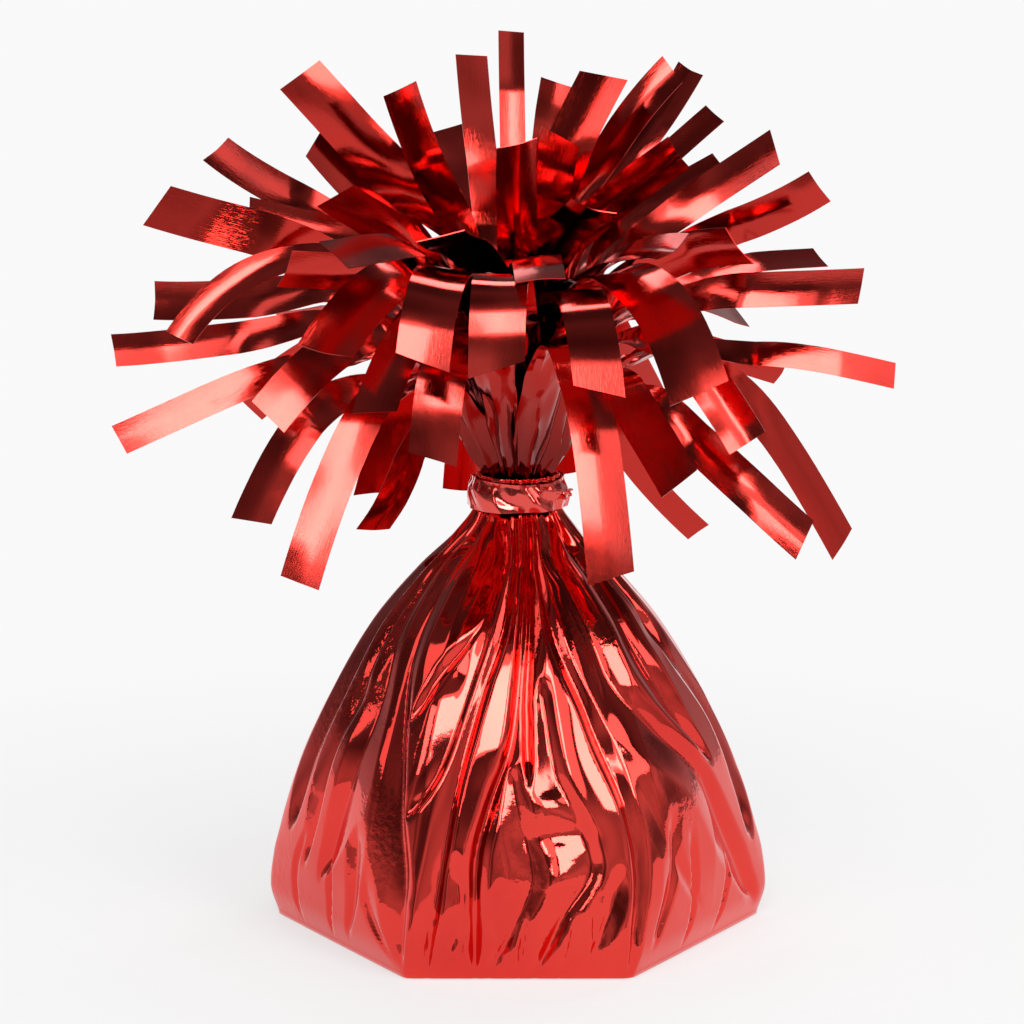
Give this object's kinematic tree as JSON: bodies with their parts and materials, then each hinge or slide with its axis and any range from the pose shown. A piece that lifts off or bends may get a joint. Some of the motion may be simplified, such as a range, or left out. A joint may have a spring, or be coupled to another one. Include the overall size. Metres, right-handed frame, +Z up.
{
  "type": "foil balloon weight",
  "caption": "Hexagon-footed balloon weight: gathered metallic film skirt round a cast core, twist-tied at the neck, with a burst of cut film strips above.",
  "frame": {"origin": "centre of the flat hexagonal face that the weight stands on", "axes": "+Z up along the neck, +X towards the right-hand corner of the foot, -Y out of the flat side of the foot that faces the viewer"},
  "size_m": [0.1175, 0.1025, 0.1331],
  "materials": {
    "card": "matte",
    "core_plastic": "satin",
    "cast_fill": "matte",
    "wrapper_film": "polished",
    "tie_film": "gloss",
    "soft_wire": "satin",
    "strip_film": "gloss"
  },
  "bodies": {
    "root": {"base_plate": "card", "core_shell": "core_plastic", "ballast_fill": "cast_fill", "foil_wrapper": "wrapper_film", "tie_band": "tie_film", "tie_wire": "soft_wire", "fringe_layer_1": "strip_film", "fringe_layer_2": "strip_film", "fringe_layer_3": "strip_film", "fringe_layer_4": "strip_film", "fringe_layer_5": "strip_film", "fringe_layer_6": "strip_film"}
  },
  "joints": []
}
